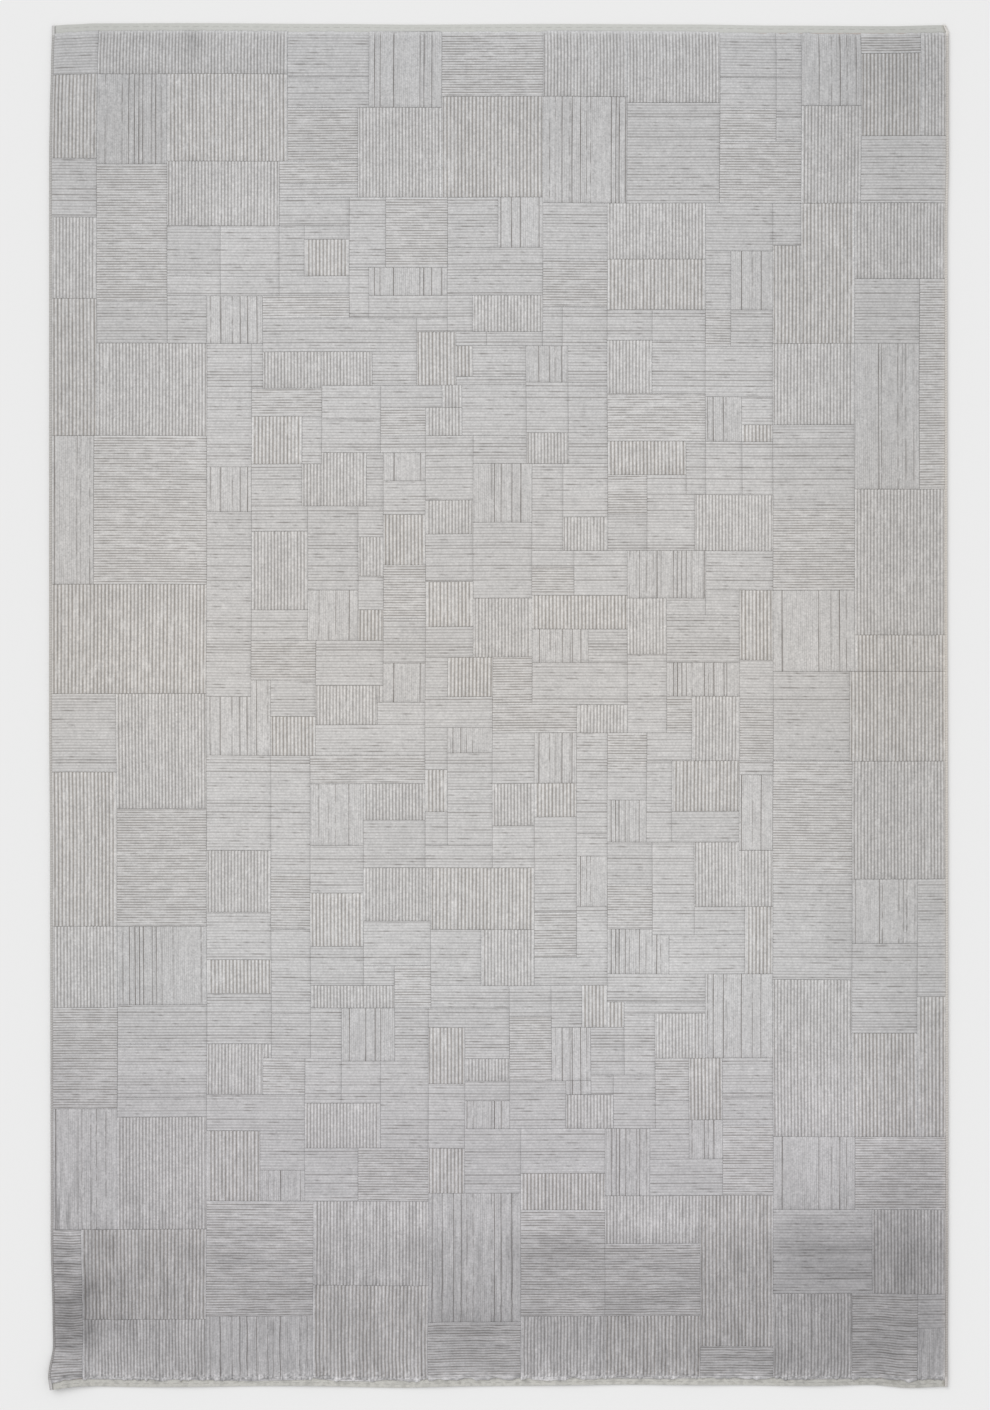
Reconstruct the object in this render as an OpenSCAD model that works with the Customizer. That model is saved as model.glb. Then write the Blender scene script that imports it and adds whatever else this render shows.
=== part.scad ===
// Area rug, 1600 x 2430 mm, lying flat with the pile up.
// A machine-woven cloth carries a low pile all over. Blocks of taller pile stand on it in a
// patchwork, some ribbed along the rug and some ribbed across it, with a low line round each.
// The two ends are flat-woven, turned under once and stitched. The two long edges are
// overcast with yarn round a cord.
// X runs across the rug, Y along it towards the head end, Z up.
// The origin is on the floor under the middle of the rug. All sizes are in millimetres.

/* [Overall size] */
// Width over the two overcast edges
rug_width = 1600; // [800:10:3000]
// Length over the two woven ends
rug_length = 2430; // [1200:10:4000]

/* [Cloth layers] */
// Coat of latex on the back
coating_thickness = 0.6; // [0.3:0.1:1.5]
// Woven ground cloth
cloth_thickness = 1.8; // [1:0.1:3]
// Low pile that covers the whole field and shows as the dark lines
groove_pile_height = 2.1; // [1:0.1:4]
// Ribbed pile above the low pile
rib_pile_height = 3.5; // [2:0.1:6]
// Smoother, thinly lined pile above the low pile
line_pile_height = 3; // [2:0.1:6]

/* [Patchwork] */
// Width of the low line left round each block
outline_width = 2; // [1:0.1:4]

/* [Woven ends] */
// Depth of the flat-woven band at each end
end_depth = 15; // [8:1:40]
// Thickness of the band's upper layer
end_thickness = 2; // [1:0.1:3]
// Thickness of the layer turned under it
fold_thickness = 1.2; // [0.6:0.1:2]
// Length of one hem stitch
stitch_length = 12; // [6:1:20]
// Gap between one stitch and the next
stitch_gap = 6; // [3:1:12]
// Width of the stitching yarn
stitch_width = 1.2; // [0.6:0.1:2]
// Height of a stitch above the band
stitch_height = 0.5; // [0.3:0.1:1]
// Distance of the stitches from the outer edge of the band
stitch_inset = 6; // [3:1:10]

/* [Overcast edges] */
// Cord inside each long edge
cord_diameter = 3.6; // [2:0.1:6]
// Overcasting yarn round the cord
wrap_thickness = 1.4; // [0.8:0.1:3]
// Part of the overcasting between the cord and the cloth
wrap_tuck = 2.4; // [1:0.1:5]

/* [Smoothness] */
// Facets round a cord
round_facets = 48; // [24:4:96]

/* [Hidden] */
edge_radius = cord_diameter / 2 + wrap_thickness;
edge_width = edge_radius + wrap_tuck;
edge_height = 2 * edge_radius;
cord_x = rug_width / 2 - edge_radius;
field_width = rug_width - 2 * edge_width;
field_length = rug_length - 2 * end_depth;
cloth_base = coating_thickness;
groove_base = cloth_base + cloth_thickness;
block_base = groove_base + groove_pile_height;
end_top = fold_thickness + end_thickness;

// The patchwork is drafted on a sheet 160 wide and 240 long. The sheet is as wide as the rug
// and as long as the pile field. Each block is [left, top, right, bottom] on it, counted from
// the head-left corner to the nearest half unit. As drawn, one unit is one centimetre.
draft_width = 160;
draft_length = 240;

fine_ribs = [
    // head third
    [8.5, 0, 42.5, 7.5], [88, 0, 103, 11.5], [103, 0, 119.5, 12.5], [155, 0, 160, 18.5],
    [134, 13, 144.5, 30.5], [55, 13.5, 70, 29.5], [21, 23, 41, 34.5], [99.5, 30.5, 117, 40.5],
    [143.5, 30.5, 160, 44], [0, 33, 8.5, 47.5], [75.5, 47, 88, 53.5], [99.5, 55, 107.5, 64.5],
    [8.5, 55.5, 28, 72], [129, 55.5, 143.5, 70], [38, 57, 48.5, 63.5], [48.5, 57, 57.5, 63],
    [70, 63, 73.5, 67], [67, 67, 73.5, 72],
    // middle third
    [85, 71.5, 92.5, 77], [48.5, 75, 56.5, 84.5], [45, 77, 48.5, 84.5], [143.5, 81.5, 160, 107.5],
    [115, 82.5, 129, 92.5], [67, 83.5, 75.5, 89.5], [91.5, 86.5, 99.5, 92.5], [36, 89, 46, 103],
    [55, 90, 59.5, 97], [75.5, 101, 86, 111.5], [103, 101, 110, 111], [47.5, 116.5, 58.5, 123.5],
    [58.5, 116.5, 59.5, 119.5], [12, 118, 28, 138.5], [114.5, 118.5, 123, 130], [94, 120, 103, 125],
    [143, 130, 160, 151], [56, 134, 67, 140.5], [79, 134, 86.5, 141.5], [115, 144.5, 123, 156],
    [28, 146, 39.5, 157], [123, 146, 129, 156], [56, 149, 68, 158.5],
    // foot third
    [0, 159.5, 12, 174], [77, 160, 86.5, 170], [129, 169, 143, 197], [46.5, 170, 61.5, 174],
    [108, 175, 117, 183], [28, 180.5, 38, 189.5], [38, 180.5, 39.5, 183], [74, 183, 82, 187],
    [92, 189.5, 100.5, 195.5], [45.5, 191, 59, 199], [12, 193.5, 28, 213.5], [99, 207.5, 116, 216],
    [47, 208.5, 67.5, 223.5], [146.5, 210, 160, 225], [129, 225, 143, 240], [84, 229, 99, 240],
    [5.5, 229.5, 28, 240],
];

coarse_ribs = [
    // head third
    [144.5, 3.5, 155, 18.5], [0, 7.5, 8.5, 22.5], [21, 7.5, 42.5, 23], [70, 11.5, 88, 29.5],
    [134, 30.5, 143.5, 55.5], [45.5, 37, 53.5, 43.5], [129, 38, 134, 55.5], [99.5, 40.5, 117, 49.5],
    [0, 47.5, 8.5, 72], [65.5, 53.5, 72.5, 63], [72.5, 56, 75.5, 61.5], [36, 68.5, 45, 77],
    [123.5, 70, 129, 73],
    // middle third
    [99.5, 73, 113.5, 79], [59.5, 86, 67, 95], [67, 98, 75.5, 106], [0, 98.5, 28, 118],
    [123, 99.5, 129, 112], [86, 100.5, 103, 106.5], [55, 103, 59.5, 108.5], [143.5, 107.5, 160, 114],
    [71, 111.5, 79, 118.5], [142.5, 114, 160, 130], [39.5, 122, 47.5, 129], [111, 130, 123, 139],
    [67, 131.5, 71, 139], [0, 132, 12, 159.5], [86.5, 134, 94, 140], [68, 149, 86.5, 160],
    [46.5, 153.5, 56, 163],
    // foot third
    [124, 156, 129, 168], [28, 165.5, 39.5, 171.5], [95, 170, 99.5, 177.5], [154.5, 172, 160, 197],
    [99.5, 173, 102.5, 177.5], [67.5, 177.5, 74, 187.5], [143, 178.5, 154.5, 197], [114, 183, 120, 194],
    [28, 196, 37.5, 208.5], [67.5, 199, 74, 207], [84, 203.5, 99, 210], [116, 207.5, 129, 234.5],
    [5.5, 213.5, 28, 229.5], [47, 223.5, 67.5, 240], [99, 229, 116, 240],
];

crosswise_ribs = [
    // head third
    [70, 0, 88, 11.5], [144.5, 0, 155, 3.5], [42.5, 13.5, 55, 23], [119.5, 13.5, 129.5, 19.5],
    [119.5, 19.5, 134, 30.5], [41, 23, 55, 27], [8.5, 23.5, 21, 48], [60, 29.5, 71, 42],
    [88, 40.5, 99.5, 49], [155, 44, 160, 81.5], [38, 47, 53.5, 51], [117, 49.5, 121.5, 56],
    [36, 63.5, 48.5, 68.5], [99.5, 64.5, 117, 73], [59, 67, 67, 72],
    // middle third
    [8, 72, 28, 98.5], [99.5, 79, 106.5, 86], [129, 85, 143.5, 99.5], [59.5, 95, 67, 104.5],
    [86, 95.5, 93.5, 100.5], [36, 108.5, 47.5, 115.5], [79, 111.5, 86, 120], [110, 118.5, 114.5, 125],
    [79, 120, 94, 125], [123, 120, 129, 130], [99.5, 125, 106.5, 132], [46.5, 129, 67, 134],
    [129, 130, 143, 150], [12, 138.5, 28, 159.5], [39.5, 150, 46.5, 160], [99.5, 152, 107.5, 160],
    // foot third
    [86.5, 157, 94, 165], [61.5, 166.5, 68, 174], [0, 174, 12, 192], [82, 175.5, 89.5, 187],
    [38, 183, 45.5, 189.5], [108, 183, 114, 190.5], [120, 195, 129, 207.5], [143.5, 197, 160, 210],
    [55, 199, 67.5, 208.5], [28, 208.5, 47, 229], [84, 210, 99, 229], [0, 213.5, 5.5, 240],
    [99, 216, 116, 229], [143, 225, 154.5, 240], [67.5, 230, 84, 240], [116, 234.5, 129, 240],
];

crosswise_lines = [
    // head third
    [0, 0, 8.5, 7.5], [42.5, 0, 57, 8], [119.5, 0, 129.5, 8], [129.5, 0, 134, 8], [42.5, 8, 57, 13.5],
    [119.5, 8, 129.5, 13.5], [129.5, 8, 134, 19.5], [103, 12.5, 119.5, 30.5], [144.5, 18.5, 160, 30.5],
    [0, 22.5, 8.5, 33], [41, 27, 55, 29.5], [41, 29.5, 53.5, 34.5], [53.5, 29.5, 60, 42],
    [71, 29.5, 80, 38.5], [88, 30.5, 99.5, 40.5], [117, 30.5, 129, 39], [129, 30.5, 134, 38],
    [21, 34.5, 30.5, 43.5], [30.5, 34.5, 41, 43.5], [41, 34.5, 45.5, 43.5], [45.5, 34.5, 53.5, 37],
    [71, 38.5, 88, 43.5], [117, 39, 121.5, 49.5], [53.5, 42, 57, 51], [21, 43.5, 30.5, 47],
    [30.5, 43.5, 41, 47], [41, 43.5, 53.5, 47], [71, 43.5, 88, 47], [143.5, 44, 155, 55.5],
    [21, 47, 28, 55.5], [57, 47, 71, 51], [71, 47, 75.5, 53.5], [8.5, 48, 21, 55.5], [88, 49, 91.5, 56],
    [91.5, 49, 99.5, 56], [99.5, 49.5, 107.5, 55], [107.5, 49.5, 117, 55], [121.5, 49.5, 129, 56],
    [38, 51, 65.5, 57], [65.5, 51, 71, 53.5], [72.5, 53.5, 78, 56], [78, 53.5, 88, 56],
    [107.5, 55, 117, 64.5], [28, 55.5, 36, 77.5], [36, 55.5, 38, 63.5], [75.5, 56, 85, 61.5],
    [92.5, 56, 99.5, 62.5], [117, 56, 129, 65], [57.5, 57, 65.5, 63], [72.5, 61.5, 85, 63],
    [85, 62.5, 92.5, 71.5], [92.5, 62.5, 99.5, 71.5], [48.5, 63, 59, 69], [59, 63, 70, 67],
    [73.5, 63, 85, 72], [123.5, 65, 129, 70], [45, 68.5, 48.5, 77], [48.5, 69, 59, 75],
    // middle third
    [129, 70, 143.5, 85], [92.5, 71.5, 99.5, 77], [59, 72, 67, 75], [67, 72, 75.5, 83.5],
    [75.5, 72, 85, 77], [113.5, 73, 117, 82.5], [117, 73, 123.5, 82.5], [123.5, 73, 129, 82.5],
    [56.5, 75, 59.5, 84.5], [36, 77, 45, 84.5], [86, 77, 91.5, 92.5], [91.5, 77, 99.5, 86.5],
    [106.5, 79, 113.5, 82.5], [59.5, 80, 67, 86], [106.5, 82.5, 115, 92.5], [36, 84.5, 46, 89],
    [46, 84.5, 55, 99.5], [55, 84.5, 59.5, 90], [28, 85.5, 36, 118.5], [99.5, 86, 106.5, 92.5],
    [75.5, 87.5, 86, 101], [67, 89.5, 75.5, 98], [86, 92.5, 93.5, 95.5], [93.5, 92.5, 103, 100.5],
    [117, 92.5, 129, 99.5], [55, 97, 59.5, 103], [117, 99.5, 123, 104], [110, 101, 117, 104],
    [36, 103, 46, 108.5], [110, 104, 123, 112.5], [59.5, 104.5, 67, 112.5], [67, 106, 75.5, 111.5],
    [96, 106.5, 103, 112.5], [47.5, 108.5, 59.5, 116.5], [103, 111, 110, 125], [67, 111.5, 71, 118.5],
    [123, 112, 129, 120], [86, 112.5, 103, 120], [129, 114, 142.5, 130], [39.5, 115.5, 47.5, 122],
    [0, 118, 12, 132], [67, 118.5, 79, 124], [58.5, 119.5, 67, 123.5], [47.5, 123.5, 67, 129],
    [67, 124, 71, 131.5], [79, 125, 86.5, 134], [94, 125, 99.5, 135], [106.5, 125, 114.5, 130],
    [71, 128.5, 79, 135], [28, 129, 39.5, 146], [39.5, 129, 46.5, 150], [106.5, 130, 111, 144.5],
    [123, 130, 129, 132.5], [99.5, 132, 106.5, 137], [71, 135, 79, 145], [94, 135, 99.5, 143],
    [67, 139, 71, 145], [111, 139, 123, 144.5], [86.5, 140, 94, 157], [56, 140.5, 67, 149],
    [79, 141.5, 86.5, 149], [94, 143, 99.5, 147], [99.5, 144.5, 107.5, 152], [107.5, 144.5, 115, 161],
    [46.5, 145, 56, 153.5], [67, 145, 79, 149], [154.5, 151, 160, 163], [115, 156, 124, 161],
    // foot third
    [129, 150, 143, 169], [94, 156, 99.5, 165], [28, 157, 39.5, 165.5], [56, 158.5, 68, 166.5],
    [39.5, 160, 46.5, 175], [68, 160, 77, 170], [110.5, 161, 124, 168], [143, 162.5, 154.5, 178.5],
    [46.5, 163, 56, 170], [154.5, 163, 160, 172], [86.5, 165, 99.5, 170], [56, 166.5, 61.5, 170],
    [99.5, 168, 117, 173], [68, 170, 82, 174], [82, 170, 89.5, 175.5], [89.5, 170, 95, 177.5],
    [28, 171.5, 39.5, 180.5], [102.5, 173, 117, 175], [12, 173.5, 28, 180.5], [46.5, 174, 52, 183],
    [61.5, 174, 67.5, 183.5], [67.5, 174, 82, 177.5], [39.5, 175, 46.5, 183], [102.5, 175, 108, 186],
    [74, 177.5, 82, 183], [96.5, 177.5, 102.5, 186], [12, 180.5, 28, 190], [45.5, 183, 52, 191],
    [120, 183, 129, 190], [52, 183.5, 59, 191], [59, 183.5, 67.5, 199], [96.5, 186, 100.5, 189.5],
    [100.5, 186, 108, 195.5], [74, 187, 82, 190.5], [82, 187, 92, 195.5], [67.5, 187.5, 74, 199],
    [28, 189.5, 45.5, 196], [12, 190, 28, 193.5], [120, 190, 129, 195], [108, 190.5, 114, 195.5],
    [74, 195.5, 84, 207], [84, 195.5, 99, 203.5], [107, 195.5, 114, 201], [37.5, 196, 45.5, 203],
    [45.5, 199, 55, 208.5], [107, 201, 120, 207.5], [129, 210, 146.5, 225], [154.5, 225, 160, 231],
];

lengthwise_lines = [
    // head third
    [57, 0, 70, 13.5], [134, 0, 144.5, 13], [8.5, 7.5, 21, 23.5], [88, 11.5, 103, 30.5],
    [80, 29.5, 88, 38.5], [121.5, 39, 129, 49.5], [57, 42, 71, 47], [28, 47, 38, 55.5],
    [143.5, 55.5, 155, 81.5], [85, 56, 92.5, 62.5], [117, 65, 123.5, 73],
    // middle third
    [0, 72, 8, 98.5], [59.5, 75, 67, 80], [75.5, 77, 86, 87.5], [28, 77.5, 36, 85.5],
    [103, 92.5, 117, 101], [46, 99.5, 55, 108.5], [129, 99.5, 143.5, 114], [86, 106.5, 96, 112.5],
    [59.5, 112.5, 67, 119.5], [110, 112.5, 123, 118.5], [36, 115.5, 39.5, 129], [28, 118.5, 36, 129],
    [71, 124, 79, 128.5], [86.5, 125, 94, 134], [123, 132.5, 129, 146], [46.5, 134, 56, 145],
    [99.5, 137, 106.5, 144.5], [94, 147, 99.5, 156], [143, 151, 154.5, 162.5],
    // foot third
    [12, 159.5, 28, 173.5], [99.5, 160, 107.5, 168], [107.5, 161, 110.5, 168], [117, 168, 129, 183],
    [52, 174, 61.5, 183.5], [89.5, 177.5, 96.5, 187], [92, 187, 96.5, 189.5], [74, 190.5, 82, 195.5],
    [0, 192, 12, 213.5], [114, 194, 120, 201], [99, 195.5, 107, 207.5], [129, 197, 143.5, 210],
    [37.5, 203, 45.5, 208.5], [67.5, 207, 84, 230], [28, 229, 47, 240], [154.5, 231, 160, 240],
];

// Place on the rug of a position across or down the draft. The outer blocks end at the
// overcast edges, so a position across is kept inside the pile field.
function across(u) =
    max(-field_width / 2, min(field_width / 2, (u / draft_width - 0.5) * rug_width));
function along(v) = (0.5 - v / draft_length) * field_length;

// A sheet centred on the rug, between two heights
module layer(width, length, bottom, thickness) {
    translate([-width / 2, -length / 2, bottom])
        cube([width, length, thickness]);
}

// One raised block of pile, held back from its neighbours by half a low line on each side
module pile_block(block, height) {
    left = across(block[0]) + outline_width / 2;
    right = across(block[2]) - outline_width / 2;
    head = along(block[1]) - outline_width / 2;
    foot = along(block[3]) + outline_width / 2;
    translate([left, foot, block_base])
        cube([right - left, head - foot, height]);
}

module pile_blocks(blocks, height) {
    for (block = blocks)
        pile_block(block, height);
}

// A strip across one end; side is 1 at the head and -1 at the foot
module end_strip(side, bottom, thickness) {
    strip_y = side > 0 ? field_length / 2 : -rug_length / 2;
    translate([-field_width / 2, strip_y, bottom])
        cube([field_width, end_depth, thickness]);
}

module hem_stitches(side) {
    pitch = stitch_length + stitch_gap;
    count = floor((field_width - stitch_gap) / pitch);
    row_y = side * (rug_length / 2 - stitch_inset);
    for (i = [0 : count - 1])
        translate([(i - (count - 1) / 2) * pitch - stitch_length / 2, row_y - stitch_width / 2, end_top])
            cube([stitch_length, stitch_width, stitch_height]);
}

// A round bar along one long edge; side is -1 on the left and 1 on the right
module edge_bar(side, radius) {
    translate([side * cord_x, rug_length / 2, edge_radius])
        rotate([90, 0, 0])
            cylinder(r = radius, h = rug_length, $fn = round_facets);
}

// Yarn wound round one edge cord, square on the inner side where it meets the cloth
module overcasting(side) {
    tuck_x = side > 0 ? cord_x - wrap_tuck : -cord_x;
    edge_x = side > 0 ? rug_width / 2 - edge_width : -rug_width / 2;
    difference() {
        union() {
            intersection() {
                edge_bar(side, edge_radius);
                translate([edge_x, -rug_length / 2, 0])
                    cube([edge_width, rug_length, edge_height]);
            }
            translate([tuck_x, -rug_length / 2, 0])
                cube([wrap_tuck, rug_length, edge_height]);
        }
        edge_bar(side, cord_diameter / 2);
    }
}

module back_coating() {
    color([0.80, 0.77, 0.70])
        layer(field_width, field_length, 0, coating_thickness);
}

module ground_cloth() {
    color([0.72, 0.67, 0.58])
        layer(field_width, field_length, cloth_base, cloth_thickness);
}

module groove_pile() {
    color([0.56, 0.53, 0.49])
        layer(field_width, field_length, groove_base, groove_pile_height);
}

module fine_rib_pile() {
    color([0.74, 0.73, 0.71])
        pile_blocks(fine_ribs, rib_pile_height);
}

module coarse_rib_pile() {
    color([0.69, 0.67, 0.64])
        pile_blocks(coarse_ribs, rib_pile_height);
}

module crosswise_rib_pile() {
    color([0.72, 0.71, 0.69])
        pile_blocks(crosswise_ribs, rib_pile_height);
}

module crosswise_line_pile() {
    color([0.76, 0.76, 0.75])
        pile_blocks(crosswise_lines, line_pile_height);
}

module lengthwise_line_pile() {
    color([0.75, 0.74, 0.73])
        pile_blocks(lengthwise_lines, line_pile_height);
}

module head_end_band() {
    color([0.76, 0.76, 0.74])
        end_strip(1, fold_thickness, end_thickness);
}

module foot_end_band() {
    color([0.70, 0.69, 0.67])
        end_strip(-1, fold_thickness, end_thickness);
}

module head_hem_fold() {
    color([0.70, 0.69, 0.66])
        end_strip(1, 0, fold_thickness);
}

module foot_hem_fold() {
    color([0.70, 0.69, 0.66])
        end_strip(-1, 0, fold_thickness);
}

module head_hem_stitches() {
    color([0.80, 0.79, 0.76])
        hem_stitches(1);
}

module foot_hem_stitches() {
    color([0.80, 0.79, 0.76])
        hem_stitches(-1);
}

module left_edge_cord() {
    color([0.66, 0.60, 0.50])
        edge_bar(-1, cord_diameter / 2);
}

module right_edge_cord() {
    color([0.66, 0.60, 0.50])
        edge_bar(1, cord_diameter / 2);
}

module left_overcasting() {
    color([0.72, 0.71, 0.69])
        overcasting(-1);
}

module right_overcasting() {
    color([0.74, 0.71, 0.69])
        overcasting(1);
}

back_coating();
ground_cloth();
groove_pile();
fine_rib_pile();
coarse_rib_pile();
crosswise_rib_pile();
crosswise_line_pile();
lengthwise_line_pile();
head_end_band();
foot_end_band();
head_hem_fold();
foot_hem_fold();
head_hem_stitches();
foot_hem_stitches();
left_edge_cord();
right_edge_cord();
left_overcasting();
right_overcasting();
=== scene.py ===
"""The looks of a machine-woven area rug with high and low pile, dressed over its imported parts.

Lengths are in metres. X runs across the rug, Y along it towards the head end, and Z up.
Places on the rug are also given on its draft, a sheet 160 wide and 240 long that is counted in
centimetres from the head-left corner.
"""
import math
import bpy
import numpy as np
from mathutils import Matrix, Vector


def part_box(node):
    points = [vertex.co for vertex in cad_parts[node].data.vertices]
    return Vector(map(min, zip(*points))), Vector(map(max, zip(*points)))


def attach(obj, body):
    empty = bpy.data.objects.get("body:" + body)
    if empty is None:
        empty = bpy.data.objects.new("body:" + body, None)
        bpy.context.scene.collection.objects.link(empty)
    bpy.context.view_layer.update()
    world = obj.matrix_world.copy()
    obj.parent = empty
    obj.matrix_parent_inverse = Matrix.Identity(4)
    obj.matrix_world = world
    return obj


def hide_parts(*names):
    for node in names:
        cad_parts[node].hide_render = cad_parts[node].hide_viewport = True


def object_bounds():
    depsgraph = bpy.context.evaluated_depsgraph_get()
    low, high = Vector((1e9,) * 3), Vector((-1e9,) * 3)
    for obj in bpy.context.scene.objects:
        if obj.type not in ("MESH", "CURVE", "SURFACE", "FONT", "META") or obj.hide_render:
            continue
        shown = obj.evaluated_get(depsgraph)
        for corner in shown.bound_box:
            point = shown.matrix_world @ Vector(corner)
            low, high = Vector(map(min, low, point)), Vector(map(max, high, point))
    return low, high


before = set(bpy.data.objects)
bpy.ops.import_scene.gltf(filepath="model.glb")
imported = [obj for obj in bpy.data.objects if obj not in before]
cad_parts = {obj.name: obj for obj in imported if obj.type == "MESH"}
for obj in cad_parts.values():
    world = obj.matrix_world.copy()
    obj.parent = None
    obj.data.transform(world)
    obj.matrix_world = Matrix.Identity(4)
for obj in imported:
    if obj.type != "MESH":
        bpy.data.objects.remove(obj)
cad_low, cad_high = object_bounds()

MM = 0.001
CM = 0.01
rug_width = cad_high.x - cad_low.x
rug_length = cad_high.y - cad_low.y
cloth_low, cloth_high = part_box("ground_cloth")
pile_head, pile_foot = cloth_high.y, cloth_low.y

# ---------------------------------------------------------------- camera

CAMERA_HEIGHT = 6.99
CAMERA_SHIFT_LEFT = 5.7 * MM


def place_camera():
    """A long lens straight above the rug, with the head end at the top of the frame."""
    lens = bpy.data.cameras.new("overhead camera")
    lens.lens = 100
    lens.sensor_width = 36
    lens.clip_end = 50
    camera = bpy.data.objects.new("overhead camera", lens)
    camera.location = (-CAMERA_SHIFT_LEFT, 0, CAMERA_HEIGHT)
    bpy.context.collection.objects.link(camera)
    bpy.context.scene.camera = camera


place_camera()


# ---------------------------------------------------------------- shader node groups

def new_group(name, inputs, outputs):
    """A shader node group with the named sockets, and its two end nodes."""
    group = bpy.data.node_groups.new(name, "ShaderNodeTree")
    for label, kind, value in inputs:
        socket = group.interface.new_socket(name=label, in_out="INPUT", socket_type=kind)
        socket.default_value = value
    for label, kind in outputs:
        group.interface.new_socket(name=label, in_out="OUTPUT", socket_type=kind)
    return group, group.nodes.new("NodeGroupInput"), group.nodes.new("NodeGroupOutput")


COLOUR, NUMBER = "NodeSocketColor", "NodeSocketFloat"
WHITE, LIGHT_GREY, MID_GREY = (1, 1, 1, 1), (0.6, 0.6, 0.58, 1), (0.25, 0.22, 0.2, 1)


def feed(tree, value, socket):
    """Links an output to a socket, or sets the socket to a plain value."""
    if isinstance(value, bpy.types.NodeSocket):
        tree.links.new(value, socket)
    else:
        socket.default_value = value


def math_node(tree, operation, first, second=0.0, clamp=False):
    node = tree.nodes.new("ShaderNodeMath")
    node.operation = operation
    node.use_clamp = clamp
    feed(tree, first, node.inputs[0])
    feed(tree, second, node.inputs[1])
    return node.outputs[0]


def noise_node(tree, scale, detail=2.0):
    """Noise in the rug's own coordinates."""
    coordinates = tree.nodes.new("ShaderNodeTexCoord")
    noise = tree.nodes.new("ShaderNodeTexNoise")
    noise.inputs["Detail"].default_value = detail
    feed(tree, scale, noise.inputs["Scale"])
    tree.links.new(coordinates.outputs["Object"], noise.inputs["Vector"])
    return noise.outputs["Fac"]


def scale_colour(tree, colour, amount):
    node = tree.nodes.new("ShaderNodeVectorMath")
    node.operation = "SCALE"
    feed(tree, colour, node.inputs[0])
    feed(tree, amount, node.inputs["Scale"])
    return node.outputs[0]


def tint_colour(tree, colour, tint):
    node = tree.nodes.new("ShaderNodeVectorMath")
    node.operation = "MULTIPLY"
    feed(tree, colour, node.inputs[0])
    feed(tree, tint, node.inputs[1])
    return node.outputs[0]


def blend_colours(tree, amount, first, second):
    """first where amount is 0 and second where it is 1."""
    node = tree.nodes.new("ShaderNodeMix")
    node.data_type = "RGBA"
    factor, _, _, _, _, _, colour_a, colour_b, *_ = node.inputs
    feed(tree, amount, factor)
    feed(tree, first, colour_a)
    feed(tree, second, colour_b)
    return node.outputs[2]


def uneven(tree, noise, amount):
    """A number round 1 that varies with the noise."""
    swing = math_node(tree, "MULTIPLY", math_node(tree, "SUBTRACT", noise, 0.5), amount)
    return math_node(tree, "ADD", swing, 1.0)


def ranged(tree, share, span, least):
    """A number that goes from least to least + span as the share goes from 0 to 1."""
    return math_node(tree, "ADD", math_node(tree, "MULTIPLY", share, span), least)


def build_pile_yarn():
    """Pile seen from above: pale tips, darker yarn down in the grooves, and uneven tufts."""
    group, given, made = new_group(
        "Pile yarn",
        [("Tip Colour", COLOUR, LIGHT_GREY), ("Groove Colour", COLOUR, MID_GREY),
         ("Groove", NUMBER, 0.0), ("Tint And Painted Shade", COLOUR, WHITE), ("Tuft Scale", NUMBER, 500.0),
         ("Unevenness", NUMBER, 0.3), ("Grain", NUMBER, 0.35)],
        [("Colour", COLOUR), ("Roughness", NUMBER), ("Height", NUMBER)],
    )
    tuft = noise_node(group, given.outputs["Tuft Scale"])
    patch = noise_node(group, 45.0, 3.0)
    grain = noise_node(group, 190.0, 1.0)
    ragged = math_node(group, "MULTIPLY", math_node(group, "SUBTRACT", tuft, 0.5), 0.5)
    depth = math_node(group, "ADD", given.outputs["Groove"], ragged, clamp=True)
    grooved = math_node(group, "GREATER_THAN", given.outputs["Groove"], 0.03)
    depth = math_node(group, "MULTIPLY", depth, grooved)
    colour = blend_colours(group, depth, given.outputs["Tip Colour"], given.outputs["Groove Colour"])
    amount = given.outputs["Unevenness"]
    light = math_node(group, "MULTIPLY", uneven(group, tuft, amount), uneven(group, patch, 0.16))
    light = math_node(group, "MULTIPLY", light, uneven(group, grain, given.outputs["Grain"]))
    colour = tint_colour(group, scale_colour(group, colour, light), given.outputs["Tint And Painted Shade"])
    group.links.new(colour, made.inputs["Colour"])
    group.links.new(ranged(group, tuft, 0.12, 0.82), made.inputs["Roughness"])
    sunk = math_node(group, "MULTIPLY", depth, 0.5)
    group.links.new(math_node(group, "SUBTRACT", tuft, sunk), made.inputs["Height"])
    return group


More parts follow.
